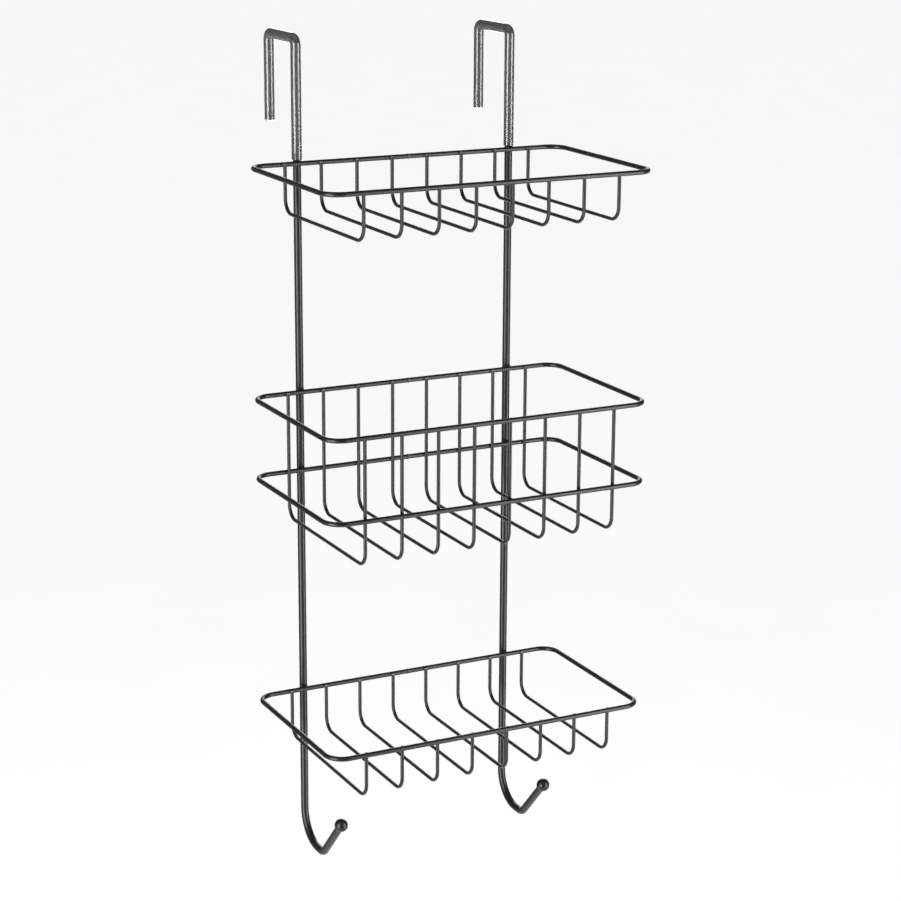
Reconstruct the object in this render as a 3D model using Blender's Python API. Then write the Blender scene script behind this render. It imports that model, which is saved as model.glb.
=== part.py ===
"""Over-door shower caddy: three wire baskets welded to two bent uprights.

The origin is on top of the door, midway between the two hooks. X runs along the door,
+Y points to the far side of the door, the baskets are on the -Y side and +Z is up.
"""

import math

import bmesh
import bpy
from mathutils import Matrix, Vector

MM = 0.001

# Wire gauges and the clear sleeve
RIM_RADIUS = 1.8 * MM
RIB_RADIUS = 1.3 * MM
ROD_RADIUS = 2.9 * MM
SLEEVE_WALL = 0.6 * MM
WELD_GAP = 0.3 * MM

# Baskets
RIM_WIDTH = 250 * MM
RIM_DEPTH = 138.4 * MM
RIM_CORNER_RADIUS = 13 * MM
TOP_RIM_DROP = 83.8 * MM
BASKET_DROP = 59 * MM
TOP_TO_MIDDLE = 226.3 * MM
MIDDLE_TO_BOTTOM = 171.5 * MM
FLOOR_DROP = 33.5 * MM
RIB_COUNT = 8
RIB_END_MARGIN = 27 * MM
RIB_TOP_SETBACK = 1 * MM
RIB_BEND_RADIUS = 10 * MM

# Uprights
ROD_MARGIN = 39.6 * MM
DOOR_SLOT = 41.5 * MM
HOOK_BEND_RADIUS = 5 * MM
HOOK_TIP_DROP = 60 * MM
SLEEVE_OVERHANG = 1 * MM
SLEEVE_END_GAP = 0.6 * MM
UTILITY_HOOK_DROP = 122 * MM
UTILITY_BEND_RADIUS = 24 * MM
UTILITY_FLAT = 6.5 * MM
UTILITY_TIP_BEND_RADIUS = 10 * MM
UTILITY_TIP_ANGLE = math.radians(47)
UTILITY_TIP_LENGTH = 48.7 * MM
BALL_RADIUS = 5 * MM

# Facets
THIN_SIDES = 8
THICK_SIDES = 12
ARC_STEP = math.radians(18)
BALL_SEGMENTS = 16
BALL_RINGS = 10

# Places that follow from the sizes above
ROD_HOLE_RADIUS = ROD_RADIUS + WELD_GAP
SLEEVE_RADIUS = ROD_HOLE_RADIUS + SLEEVE_WALL
HOOK_REACH = DOOR_SLOT + 2 * SLEEVE_RADIUS
ROD_X = RIM_WIDTH / 2 - ROD_MARGIN
ROD_Y = -HOOK_REACH / 2
BASKET_Y = ROD_Y - ROD_RADIUS - WELD_GAP - RIM_RADIUS - RIM_DEPTH / 2
RIB_Y = RIM_DEPTH / 2 - RIM_RADIUS - WELD_GAP - RIB_RADIUS
RIB_PITCH = (RIM_WIDTH - 2 * RIB_END_MARGIN) / (RIB_COUNT - 1)
MIDDLE_LOWER_Z = -TOP_RIM_DROP - TOP_TO_MIDDLE
MIDDLE_UPPER_Z = MIDDLE_LOWER_Z + BASKET_DROP
BOTTOM_Z = MIDDLE_LOWER_Z - MIDDLE_TO_BOTTOM
UTILITY_Z = BOTTOM_Z - UTILITY_HOOK_DROP


def clear_scene():
    """Remove whatever the file opened with."""
    for item in list(bpy.data.objects):
        bpy.data.objects.remove(item, do_unlink=True)


def material(name, colour, roughness, metallic, transmission=0.0):
    """A Principled material of one colour."""
    made = bpy.data.materials.new(name)
    made.use_nodes = True
    shader = made.node_tree.nodes["Principled BSDF"]
    shader.inputs["Base Color"].default_value = (*colour, 1.0)
    shader.inputs["Roughness"].default_value = roughness
    shader.inputs["Metallic"].default_value = metallic
    shader.inputs["Transmission Weight"].default_value = transmission
    return made


def rounded_path(corners, radii, closed=False):
    """The corners of a bent wire, in its own plane, with each corner rolled to its radius."""
    count = len(corners)
    points = []
    for index, (corner, radius) in enumerate(zip(corners, radii)):
        corner = Vector(corner)
        if radius == 0:
            points.append(corner)
            continue
        coming = (corner - Vector(corners[index - 1])).normalized()
        going = (Vector(corners[(index + 1) % count]) - corner).normalized()
        turn = coming.angle(going)
        start = corner - coming * radius * math.tan(turn / 2)
        inward = (going - coming * coming.dot(going)).normalized()
        steps = max(2, math.ceil(turn / ARC_STEP))
        for step in range(steps + 1):
            angle = turn * step / steps
            points.append(
                start + coming * radius * math.sin(angle) + inward * radius * (1 - math.cos(angle))
            )
    if not closed:
        return points
    return [point for index, point in enumerate(points) if (point - points[index - 1]).length > 1e-6]


def cross_sections(path, radius, sides, closed):
    """A ring of corners round each point of a flat path, mitred where it turns, with the facets'
    middles a radius from the path and facets square to it on all four sides."""
    corner_radius = radius / math.cos(math.pi / sides)
    count = len(path)
    rings = []
    for index, point in enumerate(path):
        before = path[index - 1] if closed or index else None
        after = path[(index + 1) % count] if closed or index < count - 1 else None
        coming = (point - before).normalized() if before is not None else None
        going = (after - point).normalized() if after is not None else None
        tangent = ((coming or going) + (going or coming)).normalized()
        stretch = 1 / tangent.dot(going or coming)
        aside = Vector((-tangent.y, tangent.x)) * corner_radius * stretch
        ring = []
        for side in range(sides):
            angle = 2 * math.pi * (side + 0.5) / sides
            flat = point + aside * math.cos(angle)
            ring.append((flat.x, flat.y, corner_radius * math.sin(angle)))
        rings.append(ring)
    return rings


def wire_mesh(name, path, radius, sides, placing, closed=False, bore=0.0):
    """A round bar, or a tube if it has a bore, carried along a flat path and then placed."""
    shape = bmesh.new()
    skins = [cross_sections(path, radius, sides, closed)]
    if bore:
        skins.append(cross_sections(path, bore, sides, closed))
    skins = [[[shape.verts.new(point) for point in ring] for ring in rings] for rings in skins]
    for rings in skins:
        pairs = list(zip(rings, rings[1:]))
        if closed:
            pairs.append((rings[-1], rings[0]))
        for first, second in pairs:
            for side in range(sides):
                other = (side + 1) % sides
                shape.faces.new((first[side], first[other], second[other], second[side]))
    if bore:
        for end in (0, -1):
            outer, inner = skins[0][end], skins[1][end]
            for side in range(sides):
                other = (side + 1) % sides
                shape.faces.new((outer[side], outer[other], inner[other], inner[side]))
    elif not closed:
        shape.faces.new(skins[0][0])
        shape.faces.new(skins[0][-1])
    bmesh.ops.transform(shape, matrix=placing, verts=shape.verts)
    bmesh.ops.recalc_face_normals(shape, faces=shape.faces)
    mesh = bpy.data.meshes.new(name)
    shape.to_mesh(mesh)
    shape.free()
    return mesh


def place(name, mesh, finish, location):
    """One object for one physical piece."""
    piece = bpy.data.objects.new(name, mesh)
    piece.location = location
    if not mesh.materials:
        mesh.materials.append(finish)
    for face in mesh.polygons:
        face.use_smooth = True
    bpy.context.collection.objects.link(piece)
    return piece


# A path's two coordinates laid as X and Y, and as Y and Z
FLAT = Matrix.Identity(4)
UPRIGHT = Matrix(((0, 0, 1, 0), (1, 0, 0, 0), (0, 1, 0, 0), (0, 0, 0, 1)))


def add_rims(finish):
    """Four closed rings: one round the top and bottom baskets, two round the deep middle one."""
    x, y = RIM_WIDTH / 2, RIM_DEPTH / 2
    corners = [(-x, -y), (x, -y), (x, y), (-x, y)]
    path = rounded_path(corners, [RIM_CORNER_RADIUS] * 4, closed=True)
    mesh = wire_mesh("rim", path, RIM_RADIUS, THIN_SIDES, FLAT, closed=True)
    heights = {
        "top_rim": -TOP_RIM_DROP,
        "middle_upper_rim": MIDDLE_UPPER_Z,
        "middle_lower_rim": MIDDLE_LOWER_Z,
        "bottom_rim": BOTTOM_Z,
    }
    for name, height in heights.items():
        place(name, mesh, finish, (0, BASKET_Y, height))


def add_ribs(basket, rim_height, floor_height, finish):
    """The U-shaped ribs that make one basket's floor, cut off inside the rim just below its top."""
    top = rim_height + RIM_RADIUS - RIB_TOP_SETBACK - floor_height
    corners = [(RIB_Y, top), (RIB_Y, 0), (-RIB_Y, 0), (-RIB_Y, top)]
    path = rounded_path(corners, [0, RIB_BEND_RADIUS, RIB_BEND_RADIUS, 0])
    mesh = wire_mesh(f"{basket}_rib", path, RIB_RADIUS, THIN_SIDES, UPRIGHT)
    first = -RIB_PITCH * (RIB_COUNT - 1) / 2
    for index in range(RIB_COUNT):
        location = (first + index * RIB_PITCH, BASKET_Y, floor_height)
        place(f"{basket}_rib_{index + 1}", mesh, finish, location)


def hook_corners(rod_end, tip_end):
    """The over-door hook's corners, from the rod up, over the door and down behind it."""
    return [
        (ROD_Y, rod_end),
        (ROD_Y, SLEEVE_RADIUS),
        (ROD_Y + HOOK_REACH, SLEEVE_RADIUS),
        (ROD_Y + HOOK_REACH, tip_end),
    ]


def utility_corners():
    """The lower hook's corners and its upturned end, which is the ball's centre."""
    run = UTILITY_BEND_RADIUS + UTILITY_FLAT
    run += UTILITY_TIP_BEND_RADIUS * math.tan(UTILITY_TIP_ANGLE / 2)
    turn = Vector((ROD_Y - run, UTILITY_Z))
    rise = Vector((-math.cos(UTILITY_TIP_ANGLE), math.sin(UTILITY_TIP_ANGLE)))
    return (ROD_Y, UTILITY_Z), turn, rise


def add_uprights(finish):
    """Two rods, each bent from one length of wire with a hook at either end."""
    bottom, turn, rise = utility_corners()
    end = turn + rise * (UTILITY_TIP_LENGTH - WELD_GAP)
    hook = hook_corners(UTILITY_Z, SLEEVE_OVERHANG - HOOK_TIP_DROP)
    corners = [end, turn, bottom, *hook[1:]]
    radii = [0, UTILITY_TIP_BEND_RADIUS, UTILITY_BEND_RADIUS, HOOK_BEND_RADIUS, HOOK_BEND_RADIUS, 0]
    path = rounded_path(corners, radii)
    mesh = wire_mesh("upright", path, ROD_RADIUS, THICK_SIDES, UPRIGHT)
    place("left_upright", mesh, finish, (-ROD_X, 0, 0))
    place("right_upright", mesh, finish, (ROD_X, 0, 0))


def add_sleeves(finish):
    """Two clear tubes drawn over the hooks, open at both ends, that keep the wire off the door."""
    start = -TOP_RIM_DROP + RIM_RADIUS + SLEEVE_END_GAP
    path = rounded_path(
        hook_corners(start, -HOOK_TIP_DROP), [0, HOOK_BEND_RADIUS, HOOK_BEND_RADIUS, 0]
    )
    mesh = wire_mesh(
        "sleeve", path, SLEEVE_RADIUS, THICK_SIDES, UPRIGHT, bore=ROD_HOLE_RADIUS
    )
    place("left_sleeve", mesh, finish, (-ROD_X, 0, 0))
    place("right_sleeve", mesh, finish, (ROD_X, 0, 0))


def ball_mesh():
    """A ball with a blind socket, which the end of the wire fits in."""
    shape = bmesh.new()
    bmesh.ops.create_uvsphere(
        shape, u_segments=BALL_SEGMENTS, v_segments=BALL_RINGS, radius=BALL_RADIUS
    )
    mesh = bpy.data.meshes.new("ball")
    shape.to_mesh(mesh)
    shape.free()
    return mesh


def add_ball_ends(finish):
    """A drilled ball pushed on the raised end of each lower hook."""
    _, turn, rise = utility_corners()
    centre = turn + rise * UTILITY_TIP_LENGTH
    lean = math.pi / 2 - UTILITY_TIP_ANGLE
    for name, x in (("left_ball_end", -ROD_X), ("right_ball_end", ROD_X)):
        piece = place(name, ball_mesh(), finish, (x, centre.x, centre.y))
        piece.rotation_euler = (lean, 0, 0)
        drill = bpy.data.objects.new(f"{name}_drill", drill_mesh())
        drill.parent = piece
        drill.hide_render = True
        drill.display_type = "WIRE"
        bpy.context.collection.objects.link(drill)
        socket = piece.modifiers.new("socket", "BOOLEAN")
        socket.operation = "DIFFERENCE"
        socket.solver = "EXACT"
        socket.object = drill


def drill_mesh():
    """The socket's cutter: from the ball's centre out past its surface, along the wire."""
    hole_radius = ROD_HOLE_RADIUS / math.cos(math.pi / THICK_SIDES)
    shape = bmesh.new()
    bmesh.ops.create_cone(
        shape,
        cap_ends=True,
        segments=THICK_SIDES,
        radius1=hole_radius,
        radius2=hole_radius,
        depth=2 * BALL_RADIUS,
        matrix=Matrix.Translation((0, 0, -BALL_RADIUS)),
    )
    mesh = bpy.data.meshes.new("ball_drill")
    shape.to_mesh(mesh)
    shape.free()
    return mesh


def main():
    clear_scene()
    coated = material("coated_steel_wire", (0.045, 0.045, 0.05), 0.3, 0.85)
    clear = material("clear_soft_plastic", (0.85, 0.87, 0.88), 0.08, 0.0, 0.9)
    add_rims(coated)
    add_ribs("top", -TOP_RIM_DROP, -TOP_RIM_DROP - FLOOR_DROP, coated)
    add_ribs("middle", MIDDLE_UPPER_Z, MIDDLE_LOWER_Z - FLOOR_DROP, coated)
    add_ribs("bottom", BOTTOM_Z, BOTTOM_Z - FLOOR_DROP, coated)
    add_uprights(coated)
    add_sleeves(clear)
    add_ball_ends(coated)


main()
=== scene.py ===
"""Over-door shower caddy: smooth lacquered wire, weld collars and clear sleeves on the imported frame.

The origin is on the door's top edge midway between the hooks. X runs along the door, +Y goes
through it to the far side, the baskets are on the -Y side and +Z is up. Lengths are in metres.
"""

import math

import bpy
import numpy as np
from mathutils import Matrix, Vector


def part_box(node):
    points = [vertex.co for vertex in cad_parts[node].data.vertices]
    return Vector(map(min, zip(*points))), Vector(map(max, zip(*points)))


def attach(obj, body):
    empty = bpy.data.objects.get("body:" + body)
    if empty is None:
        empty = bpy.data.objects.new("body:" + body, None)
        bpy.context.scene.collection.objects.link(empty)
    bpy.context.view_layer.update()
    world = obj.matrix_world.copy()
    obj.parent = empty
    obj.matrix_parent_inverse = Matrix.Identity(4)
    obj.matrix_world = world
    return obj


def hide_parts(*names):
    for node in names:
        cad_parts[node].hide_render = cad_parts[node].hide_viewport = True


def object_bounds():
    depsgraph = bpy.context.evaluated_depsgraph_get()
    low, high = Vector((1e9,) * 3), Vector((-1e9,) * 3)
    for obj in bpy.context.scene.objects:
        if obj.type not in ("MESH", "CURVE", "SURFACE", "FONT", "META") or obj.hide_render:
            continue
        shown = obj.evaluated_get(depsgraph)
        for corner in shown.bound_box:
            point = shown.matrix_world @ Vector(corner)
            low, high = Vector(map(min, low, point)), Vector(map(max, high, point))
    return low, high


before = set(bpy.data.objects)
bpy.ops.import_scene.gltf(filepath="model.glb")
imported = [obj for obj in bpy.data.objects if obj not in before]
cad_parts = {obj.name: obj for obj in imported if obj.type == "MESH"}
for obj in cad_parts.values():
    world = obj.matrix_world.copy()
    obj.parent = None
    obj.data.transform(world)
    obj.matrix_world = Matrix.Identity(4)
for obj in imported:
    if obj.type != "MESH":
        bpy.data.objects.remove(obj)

cad_low, cad_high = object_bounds()
MM = 0.001

# ---------------------------------------------------------------------------------------------
# Rims. Four closed rings of 3.6 mm drawn steel wire, one round the top and bottom baskets and
# two round the middle one. Each is bent on a former to a rounded rectangle and butt-welded in
# the middle of its back run, where a little flash stays, and is lacquered with the whole rack.
# ---------------------------------------------------------------------------------------------

RIM_NODES = ("top_rim", "middle_upper_rim", "middle_lower_rim", "bottom_rim")
RIM_CORNER_RADIUS = 13 * MM
RIM_FACETS = 28
BEND_STEP = math.radians(4.5)
FLASH_HEIGHT = 0.2 * MM
FLASH_SPREAD = 0.8 * MM
FLASH_REACH = 3  # spreads to each side of the seam
FLASH_RINGS = 15
FLASH_RUB = 0.2
SHARP_TURN = math.radians(38)

LACQUER_DARK = "#0f0f10"
LACQUER_LIGHT = "#17171a"
# The lighter tone of real wear on rib floors and weld flash, also painted on sheared ends as a painted
# highlight.
LACQUER_WORN_AND_HIGHLIGHT = "#b4b4b8"
LACQUER_ROUGHNESS = (0.28, 0.36)
LACQUER_IOR = 1.5
RUB_DULLING = 0.15
MOTTLE = 9 * MM
MOTTLE_RANGE = (0.3, 0.7)
ORANGE_PEEL = 1.3 * MM
DIE_LINE_PITCH = 0.7 * MM
DIE_LINE_LENGTH = 60 * MM


def bent_path(corners, radii):
    """A wire's centre line in its own plane, with each corner rolled to its radius.

    A corner gives way to an arc that starts radius * tan(turn / 2) before it:
    point = start + radius * (sin(angle) * coming + (1 - cos(angle)) * inward).
    """
    corners = np.array(corners, float)
    runs = []
    for index, radius in enumerate(radii):
        corner = corners[index]
        if not radius:
            runs.append(corner[None])
            continue
        coming = corner - corners[index - 1]
        coming /= np.linalg.norm(coming)
        going = corners[(index + 1) % len(corners)] - corner
        going /= np.linalg.norm(going)
        turn = math.acos(float(np.clip(coming @ going, -1, 1)))
        inward = going - coming * (coming @ going)
        inward /= np.linalg.norm(inward)
        start = corner - coming * radius * math.tan(turn / 2)
        angle = np.linspace(0, turn, max(3, math.ceil(turn / BEND_STEP) + 1))[:, None]
        runs.append(start + radius * (np.sin(angle) * coming + (1 - np.cos(angle)) * inward))
    return np.concatenate(runs)


def directions(centres, closed):
    """Unit tangents: the mean of the directions from the point before and to the point after."""
    ahead = np.roll(centres, -1, axis=0) - centres
    behind = centres - np.roll(centres, 1, axis=0)
    if not closed:
        ahead[-1], behind[0] = behind[-1], ahead[0]
    ahead /= np.linalg.norm(ahead, axis=1, keepdims=True)
    behind /= np.linalg.norm(behind, axis=1, keepdims=True)
    tangent = ahead + behind
    return tangent / np.linalg.norm(tangent, axis=1, keepdims=True)


def smooth_mesh(name, points, faces, uvs, finish, marks=None):
    """A smooth object at the origin from arrays: points, blocks of faces, and a UV per corner."""
    mesh = bpy.data.meshes.new(name)
    mesh.from_pydata(points.tolist(), [], [face for block in faces for face in block.tolist()])
    layer = mesh.uv_layers.new(name="along_wire")
    layer.data.foreach_set("uv", np.concatenate([block.ravel() for block in uvs]).astype(np.float32))
    if marks is not None:
        stored = mesh.attributes.new("wear_and_highlight", "FLOAT", "POINT")
        stored.data.foreach_set("value", marks.astype(np.float32))
    mesh.materials.append(finish)
    mesh.shade_smooth()
    mesh.set_sharp_from_angle(angle=SHARP_TURN)
    piece = bpy.data.objects.new(name, mesh)
    bpy.context.collection.objects.link(piece)
    return piece


def round_wire(name, flat, lift, across, radii, facets, finish, closed=False, bore=None, wear_and_highlight=None):
    """A round profile carried along a flat path, solid or, given a bore, a tube.

    point(i, j) = centre(i) + radius(i, j) * (cos(angle(j)) * aside(i) + sin(angle(j)) * across),
    where across is square to the path's plane and aside = across x tangent. A tube's skin goes
    out along the outer radii and comes back along the bore. A solid wire's ends are fans.
    The UV is metres along the wire and metres round it.
    """
    level = across == "z"
    across = np.array((0, 0, 1.0) if level else (1.0, 0, 0))
    zero = np.zeros(len(flat))
    centres = np.stack([flat[:, 0], flat[:, 1], zero] if level else [zero, flat[:, 0], flat[:, 1]], 1)
    centres += across * lift
    aside = np.cross(across, directions(centres, closed))
    radii = np.broadcast_to(np.asarray(radii, float).reshape(len(flat), -1), (len(flat), facets))
    if bore is not None:
        centres = np.concatenate([centres, centres[::-1]])
        aside = np.concatenate([aside, aside[::-1]])
        radii = np.concatenate([radii, np.broadcast_to(bore[::-1].reshape(len(flat), -1), radii.shape)])
        closed = True
    count = len(centres)
    angle = 2 * np.pi * np.arange(facets) / facets
    spokes = aside[:, None] * np.cos(angle)[None, :, None] + across * np.sin(angle)[None, :, None]
    points = (centres[:, None] + radii[:, :, None] * spokes).reshape(-1, 3)
    i, j = np.meshgrid(np.arange(count if closed else count - 1), np.arange(facets), indexing="ij")
    row, next_row, next_j = i * facets, (i + 1) % count * facets, (j + 1) % facets
    quads = np.stack([row + j, row + next_j, next_row + next_j, next_row + j], -1)
    steps = np.linalg.norm(np.roll(centres, -1, axis=0) - centres, axis=1)
    along = np.concatenate([[0], np.cumsum(steps)])
    pitch = 2 * np.pi * radii.max() / facets
    u = np.stack([along[i], along[i], along[i + 1], along[i + 1]], -1)
    v = np.stack([j, j + 1, j + 1, j], -1) * pitch
    faces, uvs = [quads.reshape(-1, 4)], [np.stack([u, v], -1)]
    marks = None if wear_and_highlight is None else wear_and_highlight.ravel()
    if not closed:
        column, last, pole = np.arange(facets), (count - 1) * facets, len(points)
        beside = (column + 1) % facets
        points = np.concatenate([points, centres[[0, -1]]])
        faces.append(np.stack([beside, column, np.full(facets, pole)], 1))
        faces.append(np.stack([last + column, last + beside, np.full(facets, pole + 1)], 1))
        uvs += [np.zeros((facets, 3, 2))] * 2
        marks = None if wear_and_highlight is None else np.concatenate([marks, wear_and_highlight[[0, -1], 0]])
    return smooth_mesh(name, points, faces, uvs, finish, marks)


def srgb(code):
    """A hex colour as linear RGBA."""
    values = [int(code[i : i + 2], 16) / 255 for i in (1, 3, 5)]
    return (*[v / 12.92 if v <= 0.04045 else ((v + 0.055) / 1.055) ** 2.4 for v in values], 1.0)


def add(tree, kind, sockets=None, **settings):
    """Adds a node, sets its properties, and fills its inputs from values or other sockets."""
    node = tree.nodes.new(kind)
    for key, value in settings.items():
        setattr(node, key, value)
    for key, value in (sockets or {}).items():
        if isinstance(value, bpy.types.NodeSocket):
            tree.links.new(value, node.inputs[key])
        else:
            node.inputs[key].default_value = value
    return node


def blank_finish(name):
    """A new material and its emptied node tree."""
    made = bpy.data.materials.new(name)
    made.use_nodes = True
    made.node_tree.nodes.clear()
    return made, made.node_tree


def lacquered_wire(name, peel_depth, line_depth):
    """Drawn steel wire under a baked gunmetal lacquer.

    The eye gets a near-black satin skin with a soft light line down each side, faint
    lengthwise lines from the drawing die, the lacquer's orange peel, and a lighter, duller
    tone where things are rubbed. Sheared ends get the same lighter tone as a painted
    highlight, where light would catch the cut. The die's lines are 0.7 mm apart, coarser than
    real, to show.
    """
    made, tree = blank_finish(name)
    place = add(tree, "ShaderNodeTexCoord").outputs["Object"]
    wire = add(tree, "ShaderNodeUVMap", uv_map="along_wire").outputs["UV"]
    mottle = add(
        tree, "ShaderNodeTexNoise", {"Vector": place, "Scale": 1 / MOTTLE, "Detail": 3.0, "Roughness": 0.6}
    ).outputs["Fac"]
    peel = add(
        tree, "ShaderNodeTexNoise", {"Vector": place, "Scale": 1 / ORANGE_PEEL, "Detail": 2.0}
    ).outputs["Fac"]
    stretched = add(
        tree, "ShaderNodeMapping", {"Vector": wire, "Scale": (1 / DIE_LINE_LENGTH, 1 / DIE_LINE_PITCH, 1.0)}
    ).outputs["Vector"]
    lines = add(
        tree, "ShaderNodeTexNoise", {"Vector": stretched, "Scale": 1.0, "Detail": 3.0, "Roughness": 0.65}
    ).outputs["Fac"]
    # The attribute holds real wear on rib floors and weld flash, and a painted highlight on sheared ends;
    # both mix in the lighter lacquer tone.
    wear_and_highlight_fac = add(tree, "ShaderNodeAttribute", attribute_name="wear_and_highlight").outputs["Fac"]
    wear_and_highlight_patches = add(tree, "ShaderNodeMath", {0: wear_and_highlight_fac, 1: lines}, operation="MULTIPLY").outputs[0]
    tone = add(
        tree, "ShaderNodeMix", {0: mottle, 6: srgb(LACQUER_DARK), 7: srgb(LACQUER_LIGHT)}, data_type="RGBA"
    ).outputs[2]
    tone = add(
        tree, "ShaderNodeMix", {0: wear_and_highlight_patches, 6: tone, 7: srgb(LACQUER_WORN_AND_HIGHLIGHT)}, data_type="RGBA"
    ).outputs[2]
    dull = add(
        tree,
        "ShaderNodeMapRange",
        {
            "Value": mottle,
            "From Min": MOTTLE_RANGE[0],
            "From Max": MOTTLE_RANGE[1],
            "To Min": LACQUER_ROUGHNESS[0],
            "To Max": LACQUER_ROUGHNESS[1],
        },
    ).outputs["Result"]
    dull = add(
        tree, "ShaderNodeMath", {0: wear_and_highlight_patches, 1: RUB_DULLING, 2: dull}, operation="MULTIPLY_ADD"
    ).outputs[0]
    lined = add(tree, "ShaderNodeBump", {"Height": lines, "Distance": line_depth}).outputs["Normal"]
    skin = add(
        tree, "ShaderNodeBump", {"Height": peel, "Distance": peel_depth, "Normal": lined}
    ).outputs["Normal"]
    shader = add(
        tree,
        "ShaderNodeBsdfPrincipled",
        {"Base Color": tone, "Roughness": dull, "IOR": LACQUER_IOR, "Normal": skin},
    )
    add(tree, "ShaderNodeOutputMaterial", {"Surface": shader.outputs["BSDF"]})
    return made


def fit(piece, slot, *nodes):
    """The piece moves with the caddy and stands for the nodes named, which it hides. Its slot is not used.
    """
    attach(piece, "root")
    if nodes:
        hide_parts(*nodes)


wire_finish = lacquered_wire(
    "gunmetal_lacquered_drawn_wire", peel_depth=0.025 * MM, line_depth=0.035 * MM
)

# The flash stands FLASH_HEIGHT * exp(-seam^2) proud, with seam the distance from it in spreads.
for node in RIM_NODES:
    low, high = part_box(node)
    radius = (high.z - low.z) / 2
    side, near, far = high.x - radius, low.y + radius, high.y - radius
    corners = [(0, far), (-side, far), (-side, near), (side, near), (side, far)]
    outline = bent_path(corners, [0] + [RIM_CORNER_RADIUS] * 4)
    seam = np.linspace(FLASH_REACH, -FLASH_REACH, FLASH_RINGS)
    outline = np.concatenate([np.stack([seam * FLASH_SPREAD, np.full(FLASH_RINGS, far)], 1), outline[1:]])
    flash = np.zeros(len(outline))
    flash[:FLASH_RINGS] = np.exp(-(seam**2))
    rim = round_wire(
        f"{node}_wire",
        outline,
        (low.z + high.z) / 2,
        "z",
        radius + FLASH_HEIGHT * flash,
        RIM_FACETS,
        wire_finish,
        closed=True,
        wear_and_highlight=np.repeat(flash[:, None], RIM_FACETS, 1) * FLASH_RUB,
    )
    fit(rim, "coated_steel_wire", node)

# ---------------------------------------------------------------------------------------------
# Ribs. Twenty-four U-shaped bars of 2.6 mm wire, eight to a basket, sheared square and pressed
# against the inside of the rim as they are welded, so that they sink into it a little. The
# middle basket's are deeper and cross its lower rim too.
# ---------------------------------------------------------------------------------------------

BASKETS = {
    "top": ("top_rim",),
    "middle": ("middle_upper_rim", "middle_lower_rim"),
    "bottom": ("bottom_rim",),
}
RIBS_EACH = 8
RIB_BEND_RADIUS = 10 * MM
RIB_FACETS = 20
SINK = 0.55 * MM
CUT_EDGE = 0.25 * MM
# Painted highlight on the sheared rib ends, as a weight on the lighter lacquer tone.
PAINTED_CUT_HIGHLIGHT = 2.0
FLOOR_RUB = 0.08
FLOOR_RUB_NARROWNESS = 4


def sheared(path, radius):
    """A path and its radii with a narrow chamfer, CUT_EDGE wide, at each sheared end."""
    first, last = path[1] - path[0], path[-2] - path[-1]
    near_start = path[:1] + first / np.linalg.norm(first) * CUT_EDGE
    near_end = path[-1:] + last / np.linalg.norm(last) * CUT_EDGE
    path = np.concatenate([path[:1], near_start, path[1:-1], near_end, path[-1:]])
    radii = np.full(len(path), radius)
    radii[[0, -1]] -= CUT_EDGE
    return path, radii


for basket in BASKETS:
    for number in range(1, RIBS_EACH + 1):
        node = f"{basket}_rib_{number}"
        low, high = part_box(node)
        radius = (high.x - low.x) / 2
        near, far, floor = low.y + radius - SINK, high.y - radius + SINK, low.z + radius
        corners = [(far, high.z), (far, floor), (near, floor), (near, high.z)]
        path, radii = sheared(bent_path(corners, [0, RIB_BEND_RADIUS, RIB_BEND_RADIUS, 0]), radius)
        upward = np.clip(-np.cos(2 * np.pi * np.arange(RIB_FACETS) / RIB_FACETS), 0, 1)
        along_floor = np.where(path[:, 1] < floor + radius, FLOOR_RUB, 0)
        wear_and_highlight = along_floor[:, None] * upward[None] ** FLOOR_RUB_NARROWNESS
        # Painted highlight: both sheared end rings take the lighter lacquer tone, standing in for light
        # caught by the cut ends.
        wear_and_highlight[[0, -1]] = PAINTED_CUT_HIGHLIGHT
        rib = round_wire(
            f"{node}_wire", path, (low.x + high.x) / 2, "x", radii, RIB_FACETS, wire_finish, wear_and_highlight=wear_and_highlight
        )
        fit(rib, "coated_steel_wire", node)

# ---------------------------------------------------------------------------------------------
# Rib welds. Each rib is resistance-welded to its rim: the two wires are squeezed while the
# current flows, and a small collar of steel is pushed out round the contact. The lacquer fills
# its crevice and rounds it off.
# ---------------------------------------------------------------------------------------------

RIB_COLLAR = (1.75 * MM, 1.0 * MM, 1.4 * MM)
COLLAR_RINGS = 10
COLLAR_SEGMENTS = 16
COLLAR_UNEVENNESS = 0.12
COLLAR_SIZES = (0.88, 1.08)


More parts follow.
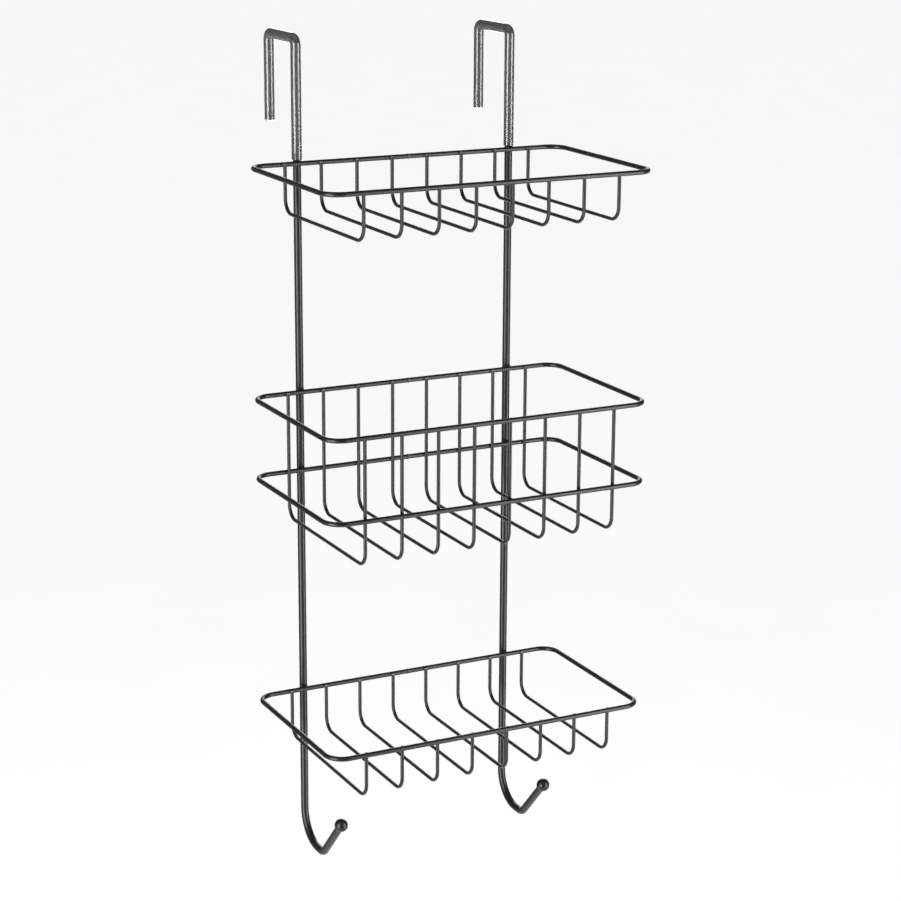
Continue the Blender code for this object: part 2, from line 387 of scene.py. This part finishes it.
def weld_collars(name, centres, half, seed, finish):
    """Squeezed-out steel round each contact, as lumpy ellipsoids in one mesh.

    point(theta, phi) = centre + size * (cos(phi) sin(theta), sin(phi) sin(theta), cos(theta)) *
    (1 + amount * sin(2 phi + phase) * sin(theta)), with size, amount and phase drawn for each.
    """
    draw = np.random.default_rng(seed)
    centres = np.array(centres, float)
    count = len(centres)
    theta = np.linspace(0, np.pi, COLLAR_RINGS + 1)[1:-1]
    phi = 2 * np.pi * np.arange(COLLAR_SEGMENTS) / COLLAR_SEGMENTS
    theta, phi = np.meshgrid(theta, phi, indexing="ij")
    unit = np.stack([np.cos(phi) * np.sin(theta), np.sin(phi) * np.sin(theta), np.cos(theta)], -1)
    amount = draw.uniform(0, COLLAR_UNEVENNESS, (count, 1, 1))
    phase = draw.uniform(0, 2 * np.pi, (count, 1, 1))
    lump = 1 + amount * np.sin(2 * phi + phase) * np.sin(theta)
    size = draw.uniform(*COLLAR_SIZES, (count, 1, 1, 1)) * np.array(half)
    skin = (centres[:, None, None] + size * unit * lump[..., None]).reshape(count, -1, 3)
    pole = size[:, 0] * (0, 0, 1)
    points = np.concatenate([skin, centres[:, None] + pole, centres[:, None] - pole], 1)
    each = points.shape[1]
    row, column = np.meshgrid(np.arange(COLLAR_RINGS - 2), np.arange(COLLAR_SEGMENTS), indexing="ij")
    beside = (column + 1) % COLLAR_SEGMENTS
    upper, lower = row * COLLAR_SEGMENTS, (row + 1) * COLLAR_SEGMENTS
    quads = np.stack([upper + column, lower + column, lower + beside, upper + beside], -1).reshape(-1, 4)
    column, last = np.arange(COLLAR_SEGMENTS), (COLLAR_RINGS - 2) * COLLAR_SEGMENTS
    beside = (column + 1) % COLLAR_SEGMENTS
    top = np.stack([column, beside, np.full(COLLAR_SEGMENTS, each - 2)], 1)
    foot = np.stack([last + beside, last + column, np.full(COLLAR_SEGMENTS, each - 1)], 1)
    shift = (np.arange(count) * each)[:, None, None]
    faces = [(block[None] + shift).reshape(-1, block.shape[1]) for block in (quads, top, foot)]
    points = points.reshape(-1, 3)
    return smooth_mesh(name, points, faces, [points[block][..., ::2] for block in faces], finish)


weld_finish = lacquered_wire("gunmetal_lacquered_weld", peel_depth=0.05 * MM, line_depth=0.0)

for seed, (basket, rims) in enumerate(BASKETS.items()):
    contacts = []
    for rim_node in rims:
        rim_low, rim_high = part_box(rim_node)
        height = (rim_low.z + rim_high.z) / 2
        for number in range(1, RIBS_EACH + 1):
            low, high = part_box(f"{basket}_rib_{number}")
            middle = (low.x + high.x) / 2
            contacts += [(middle, low.y - SINK / 2, height), (middle, high.y + SINK / 2, height)]
    fit(weld_collars(f"{basket}_rib_welds", contacts, RIB_COLLAR, seed, weld_finish), "coated_steel_wire")

# ---------------------------------------------------------------------------------------------
# Uprights. Two 5.8 mm rods, each bent from one length of drawn wire: a square hook over the
# door, a straight run down behind the three baskets, and at the bottom a hook that sweeps
# forward and turns up sharply.
# ---------------------------------------------------------------------------------------------

HOOK_BEND_RADIUS = 5 * MM
HOOK_TIP_DROP = 60 * MM
SLEEVE_OVERHANG = 1 * MM
SWEEP_RADIUS = 24 * MM
TIP_BEND_RADIUS = 10 * MM
TIP_ANGLE = math.radians(47)
ROD_FACETS = 36
# Painted highlight on the rod's sheared end inside the sleeve, as a weight on the lighter lacquer tone.
PAINTED_SLEEVED_CUT_HIGHLIGHT = 1.0

hooks = {}
for side in ("left", "right"):
    low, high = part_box(f"{side}_upright")
    sleeve_low, sleeve_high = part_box(f"{side}_sleeve")
    ball_low, ball_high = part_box(f"{side}_ball_end")
    radius = (high.x - low.x) / 2
    sleeve_radius = (sleeve_high.x - sleeve_low.x) / 2
    ball_y, ball_z = (ball_low.y + ball_high.y) / 2, (ball_low.z + ball_high.z) / 2
    bottom, top = low.z + radius, sleeve_high.z - sleeve_radius
    rod_y, tip_y = sleeve_low.y + sleeve_radius, sleeve_high.y - sleeve_radius
    turn_y = ball_y + (ball_z - bottom) / math.tan(TIP_ANGLE)
    over_door = [(rod_y, top), (tip_y, top), (tip_y, -HOOK_TIP_DROP)]
    hooks[side] = {
        "x": (low.x + high.x) / 2,
        "radius": radius,
        "sleeve_radius": sleeve_radius,
        "over_door": [(rod_y, sleeve_low.z), *over_door],
        "ball": (ball_y, ball_z),
        "ball_radius": (ball_high.x - ball_low.x) / 2,
    }
    over_door[-1] = (tip_y, SLEEVE_OVERHANG - HOOK_TIP_DROP)
    path = bent_path(
        [(ball_y, ball_z), (turn_y, bottom), (rod_y, bottom), *over_door],
        [0, TIP_BEND_RADIUS, SWEEP_RADIUS, HOOK_BEND_RADIUS, HOOK_BEND_RADIUS, 0],
    )
    path, radii = sheared(path, radius)
    wear_and_highlight = np.zeros((len(path), ROD_FACETS))
    # Painted highlight: the sheared end under the sleeve takes the lighter lacquer tone too.
    wear_and_highlight[-1] = PAINTED_SLEEVED_CUT_HIGHLIGHT
    rod = round_wire(
        f"{side}_upright_rod", path, hooks[side]["x"], "x", radii, ROD_FACETS, wire_finish, wear_and_highlight=wear_and_highlight
    )
    fit(rod, "coated_steel_wire", f"{side}_upright")

# ---------------------------------------------------------------------------------------------
# Rod welds. The uprights stand behind the baskets and each of the four rims is resistance-
# welded to both of them, with a collar larger than a rib's.
# ---------------------------------------------------------------------------------------------

ROD_COLLAR = (2.7 * MM, 1.3 * MM, 2.6 * MM)
ROD_WELD_OFFSET = 0.15 * MM
ROD_WELD_SEED = 7

contacts = []
for node in RIM_NODES:
    low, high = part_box(node)
    height = (low.z + high.z) / 2
    contacts += [(hook["x"], high.y + ROD_WELD_OFFSET, height) for hook in hooks.values()]
fit(weld_collars("rod_welds", contacts, ROD_COLLAR, ROD_WELD_SEED, weld_finish), "coated_steel_wire")

# ---------------------------------------------------------------------------------------------
# Ball ends. A 10 mm turned steel ball closes the raised end of each lower hook, so that a loop
# stays on and nobody is scratched. It is drilled, pushed on and fixed by a small round of weld.
# ---------------------------------------------------------------------------------------------

BALL_RINGS = 40
BALL_FACETS = 48
BALL_CROWN = 0.02  # radians from the pole to the first ring
FILLET_RINGS = 12
FILLET_HEIGHT = 0.9 * MM
FILLET_SPREAD = 0.7 * MM
FILLET_RANGE = (0.2, 2.4)  # spreads below the ball's seat
FILLET_TUCK = 0.03 * MM

# A ring at a height along the rod has the radius sqrt(ball^2 - height^2), or below the ball's
# middle that of the weld where it is more, a bell curve of FILLET_HEIGHT on a foot that lies
# FILLET_TUCK inside the rod: rod - tuck + height * exp(-((distance from seat) / spread)^2).
for side, hook in hooks.items():
    radius, rod = hook["ball_radius"], hook["radius"]
    neck = math.asin(rod / radius)
    height = radius * np.cos(np.linspace(BALL_CROWN, np.pi - neck, BALL_RINGS))
    seat = height[-1]
    below = FILLET_SPREAD * np.linspace(*FILLET_RANGE, FILLET_RINGS)
    height = np.concatenate([height, seat - below])
    sphere = np.sqrt(np.clip(radius**2 - height**2, 0, None))
    bead = rod - FILLET_TUCK + FILLET_HEIGHT * np.exp(-(((height - seat) / FILLET_SPREAD) ** 2))
    spread = np.where(height < 0, np.maximum(sphere, bead), sphere)
    lean = np.array((-math.cos(TIP_ANGLE), math.sin(TIP_ANGLE)))
    path = np.array(hook["ball"]) + height[:, None] * lean
    ball = round_wire(f"{side}_ball_tip", path, hook["x"], "x", spread, BALL_FACETS, wire_finish)
    fit(ball, "coated_steel_wire", f"{side}_ball_end")

# ---------------------------------------------------------------------------------------------
# Sleeves. A length of clear soft PVC tube, 7.6 mm outside, is drawn over each hook before it is
# bent, so that the wire doesn't mark the door. It grips the wire, wrinkles a little on the
# inside of the two bends, and stands 1 mm proud of the wire's end.
# ---------------------------------------------------------------------------------------------

GRIP = 0.05 * MM
SLEEVE_FACETS = 40
SLEEVE_STEP = 0.5 * MM
CLOSEST_RINGS = 0.02 * MM
WRINKLE_DEPTH = 0.18 * MM
WRINKLE_PITCH = 2.1 * MM
WRINKLE_REACH = 4.5 * MM
TUBE_SWELL = 0.03 * MM
SWELL_LENGTH = 11 * MM
SLEEVE_TINT = "#f4f7f8"
SLEEVE_ROUGHNESS = 0.13
SLEEVE_CLARITY = 0.96
SLEEVE_IOR = 1.53
SLEEVE_GLOSS_ROUGHNESS = 0.12
EXTRUSION_LINE = 0.9 * MM
EXTRUSION_LINE_DEPTH = 0.003 * MM
GRIP_PATCH = 4 * MM
GRIP_DEPTH = 0.01 * MM


def clear_tube():
    """Plasticised clear PVC, extruded and drawn on.

    The eye gets a nearly clear wall that bends the light round the dark wire, with glossy bands
    down its sides, faint lengthwise extrusion lines and a soft unevenness where it grips. The
    lines are 0.9 mm apart, coarser than real, to show.
    """
    made, tree = blank_finish("clear_soft_pvc_extruded_sleeve")
    place = add(tree, "ShaderNodeTexCoord").outputs["Object"]
    wire = add(tree, "ShaderNodeUVMap", uv_map="along_wire").outputs["UV"]
    stretched = add(
        tree, "ShaderNodeMapping", {"Vector": wire, "Scale": (1 / DIE_LINE_LENGTH, 1 / EXTRUSION_LINE, 1.0)}
    ).outputs["Vector"]
    lines = add(
        tree, "ShaderNodeTexNoise", {"Vector": stretched, "Scale": 1.0, "Detail": 2.0}
    ).outputs["Fac"]
    grip = add(
        tree, "ShaderNodeTexNoise", {"Vector": place, "Scale": 1 / GRIP_PATCH, "Detail": 2.0}
    ).outputs["Fac"]
    lined = add(
        tree, "ShaderNodeBump", {"Height": lines, "Distance": EXTRUSION_LINE_DEPTH}
    ).outputs["Normal"]
    skin = add(
        tree, "ShaderNodeBump", {"Height": grip, "Distance": GRIP_DEPTH, "Normal": lined}
    ).outputs["Normal"]
    shader = add(
        tree,
        "ShaderNodeBsdfPrincipled",
        {
            "Base Color": srgb(SLEEVE_TINT),
            "Roughness": SLEEVE_ROUGHNESS,
            "IOR": SLEEVE_IOR,
            "Transmission Weight": SLEEVE_CLARITY,
            "Coat Weight": 1.0,
            "Coat Roughness": SLEEVE_GLOSS_ROUGHNESS,
            "Normal": skin,
        },
    )
    add(tree, "ShaderNodeOutputMaterial", {"Surface": shader.outputs["BSDF"]})
    return made


sleeve_finish = clear_tube()

# The tube's outer radius has a slow swell, TUBE_SWELL * sin(along / SWELL_LENGTH) * cos(2 angle),
# less the folds, WRINKLE_DEPTH * nearness * (1 - cos(2 pi along / WRINKLE_PITCH)) / 2, which fade
# round the tube as max(-cos(angle), 0)^2. Nearness is a bell curve along it round each bend.
for side, hook in hooks.items():
    corners = np.array(hook["over_door"])
    path = bent_path(corners, [0, HOOK_BEND_RADIUS, HOOK_BEND_RADIUS, 0])
    lengths = np.linalg.norm(np.diff(path, axis=0), axis=1)
    travelled = np.concatenate([[0], np.cumsum(lengths)])
    fine = np.unique(np.concatenate([travelled, np.arange(0, travelled[-1], SLEEVE_STEP)]))
    fine = fine[np.concatenate([[True], np.diff(fine) > CLOSEST_RINGS])]
    path = np.stack([np.interp(fine, travelled, path[:, 0]), np.interp(fine, travelled, path[:, 1])], 1)
    angle = 2 * np.pi * np.arange(SLEEVE_FACETS) / SLEEVE_FACETS
    outer = np.full((len(path), SLEEVE_FACETS), hook["sleeve_radius"] - TUBE_SWELL)
    outer += TUBE_SWELL * np.sin(fine / SWELL_LENGTH)[:, None] * np.cos(2 * angle)[None]
    rise, span = np.linalg.norm(np.diff(corners[:3], axis=0), axis=1)
    first_bend = rise - HOOK_BEND_RADIUS * (1 - math.pi / 4)
    second_bend = first_bend + span - HOOK_BEND_RADIUS * (2 - math.pi / 2)
    nearness = sum(np.exp(-(((fine - bend) / WRINKLE_REACH) ** 2)) for bend in (first_bend, second_bend))
    folds = WRINKLE_DEPTH * nearness * (1 - np.cos(2 * np.pi * fine / WRINKLE_PITCH)) / 2
    outer -= folds[:, None] * np.clip(-np.cos(angle), 0, 1)[None] ** 2
    inner = np.full((len(path), SLEEVE_FACETS), hook["radius"] - GRIP)
    tube = round_wire(
        f"{side}_hook_sleeve", path, hook["x"], "x", outer, SLEEVE_FACETS, sleeve_finish, bore=inner
    )
    fit(tube, "clear_soft_plastic", f"{side}_sleeve")

# ---------------------------------------------------------------------------------------------
# Studio. A wide pale floor 2 m below the hooks, as a door's top is 2 m up, a plain pale backdrop,
# a dim room for the lacquer to reflect, and three tall soft boxes that draw lines down the rods.
# ---------------------------------------------------------------------------------------------

FLOOR_DROP = 2.0
FLOOR_HALF = 90.0
FLOOR_PALE = ("#ebebeb", "#eeeeee")
FLOOR_GLOW = 0.5
FLOOR_MOTTLE = 1 / 3  # metres
ROOM_STRENGTH = 2.0
# How bright the room is, by how high a direction points: -1 is straight down and 1 straight up.
ROOM = (
    (-1.0, "#cccccc"),
    (-0.7, "#b4b4b4"),
    (-0.5, "#6e6e6f"),
    (-0.2, "#6a6a6b"),
    (0.0, "#505051"),
    (0.5, "#464647"),
    (1.0, "#3a3a3b"),
)
BACKDROP = "#f6f6f6"
SOFT_BOX_DISTANCE = 1.6
OVERHEAD_STRENGTH = 1.6
OVERHEAD_SPREAD = math.radians(60)


def pale_floor():
    """Opal acrylic sheet, sanded matt and lit from beneath.

    The eye gets an even pale grey with a very faint mottle, in patches a third of a metre
    across, and no hard shadow.
    """
    made, tree = blank_finish("sanded_opal_acrylic_floor")
    place = add(tree, "ShaderNodeTexCoord").outputs["Object"]
    mottle = add(
        tree, "ShaderNodeTexNoise", {"Vector": place, "Scale": 1 / FLOOR_MOTTLE, "Detail": 3.0}
    ).outputs["Fac"]
    tone = add(
        tree, "ShaderNodeMix", {0: mottle, 6: srgb(FLOOR_PALE[0]), 7: srgb(FLOOR_PALE[1])}, data_type="RGBA"
    ).outputs[2]
    shader = add(
        tree,
        "ShaderNodeBsdfPrincipled",
        {
            "Base Color": tone,
            "Roughness": 0.9,
            "Specular IOR Level": 0.2,
            "Emission Color": tone,
            "Emission Strength": FLOOR_GLOW,
        },
    )
    add(tree, "ShaderNodeOutputMaterial", {"Surface": shader.outputs["BSDF"]})
    return made


floor_mesh = bpy.data.meshes.new("studio_floor")
corners = np.array([(-1, -1), (1, -1), (1, 1), (-1, 1)]) * FLOOR_HALF
floor_mesh.from_pydata(np.column_stack([corners, np.full(4, -FLOOR_DROP)]).tolist(), [], [(0, 1, 2, 3)])
floor_mesh.materials.append(pale_floor())
studio_floor = bpy.data.objects.new("studio_floor", floor_mesh)
bpy.context.collection.objects.link(studio_floor)
studio_floor.visible_glossy = False  # the lacquer reflects the room instead

# The camera sees the plain backdrop, and everything else is lit by the room.
room = bpy.data.worlds.new("studio_room")
room.use_nodes = True
tree = room.node_tree
tree.nodes.clear()
direction = add(tree, "ShaderNodeTexCoord").outputs["Generated"]
rise = add(tree, "ShaderNodeSeparateXYZ", {0: direction}).outputs["Z"]
height = add(tree, "ShaderNodeMapRange", {"Value": rise, "From Min": -1.0}).outputs["Result"]
ramp = add(tree, "ShaderNodeValToRGB", {0: height})
stops = ramp.color_ramp.elements
stops.remove(stops[1])
stops[0].color = srgb(ROOM[0][1])
for level, grey in ROOM[1:]:
    stops.new((level + 1) / 2).color = srgb(grey)
glow = add(tree, "ShaderNodeBackground", {"Color": ramp.outputs["Color"], "Strength": ROOM_STRENGTH})
backdrop = add(tree, "ShaderNodeBackground", {"Color": srgb(BACKDROP)})
seen = add(tree, "ShaderNodeLightPath").outputs["Is Camera Ray"]
shown = add(tree, "ShaderNodeMixShader", {0: seen, 1: glow.outputs[0], 2: backdrop.outputs[0]})
add(tree, "ShaderNodeOutputWorld", {"Surface": shown.outputs[0]})
bpy.context.scene.world = room


def soft_box(name, azimuth, elevation, width, height, brightness):
    """A rectangular soft box that faces the rack's middle, out of sight of the camera.

    Its power is brightness * pi * area, which makes each of its points equally bright at any size.
    """
    aim = (cad_low + cad_high) / 2
    light = bpy.data.lights.new(name, "AREA")
    light.shape = "RECTANGLE"
    light.size = width
    light.size_y = height
    light.energy = brightness * math.pi * width * height
    box = bpy.data.objects.new(name, light)
    turn, tip = math.radians(azimuth), math.radians(elevation)
    out = Vector((math.sin(turn) * math.cos(tip), -math.cos(turn) * math.cos(tip), math.sin(tip)))
    box.location = aim + out * SOFT_BOX_DISTANCE
    box.rotation_euler = out.to_track_quat("Z", "Y").to_euler()
    box.visible_camera = False
    bpy.context.collection.objects.link(box)


soft_box("left_soft_box", azimuth=-70, elevation=-4, width=1.0, height=2.0, brightness=6.2)
soft_box("right_soft_box", azimuth=37, elevation=-5, width=0.85, height=2.1, brightness=5.5)
soft_box("rear_soft_box", azimuth=150, elevation=-4, width=0.9, height=2.0, brightness=2.2)

overhead = bpy.data.lights.new("overhead_bank", "SUN")
overhead.energy = OVERHEAD_STRENGTH
overhead.angle = OVERHEAD_SPREAD
overhead_bank = bpy.data.objects.new("overhead_bank", overhead)
overhead_bank.visible_glossy = False  # it lights the wires but draws no line on them
bpy.context.collection.objects.link(overhead_bank)

# ---------------------------------------------------------------------------------------------
# Camera. It stands about 1.8 m away, to the left of the baskets and a little above the hooks, and
# looks down at them through a 96 mm lens.
# ---------------------------------------------------------------------------------------------

CAMERA_PLACE = (-0.75384, -1.58934, 0.16899)
CAMERA_AZIMUTH = math.radians(-26.852)
CAMERA_ELEVATION = math.radians(15.3147)
CAMERA_ROLL = math.radians(0.277)
FOCAL_LENGTH = 95.557  # millimetres, as the sensor's width is
SENSOR_WIDTH = 36
NEAREST_SEEN = 0.05
FARTHEST_SEEN = 300

back = Vector(
    (
        math.sin(CAMERA_AZIMUTH) * math.cos(CAMERA_ELEVATION),
        -math.cos(CAMERA_AZIMUTH) * math.cos(CAMERA_ELEVATION),
        math.sin(CAMERA_ELEVATION),
    )
)
right = Vector((0, 0, 1)).cross(back).normalized()
turned = Matrix((right, back.cross(right), back)).transposed().to_4x4()
lens = bpy.data.cameras.new("studio_camera")
lens.lens = FOCAL_LENGTH
lens.sensor_width = SENSOR_WIDTH
lens.clip_start = NEAREST_SEEN
lens.clip_end = FARTHEST_SEEN
camera = bpy.data.objects.new("studio_camera", lens)
camera.matrix_world = Matrix.Translation(CAMERA_PLACE) @ turned @ Matrix.Rotation(CAMERA_ROLL, 4, "Z")
bpy.context.collection.objects.link(camera)
bpy.context.scene.camera = camera
bpy.context.scene.view_settings.view_transform = "Standard"
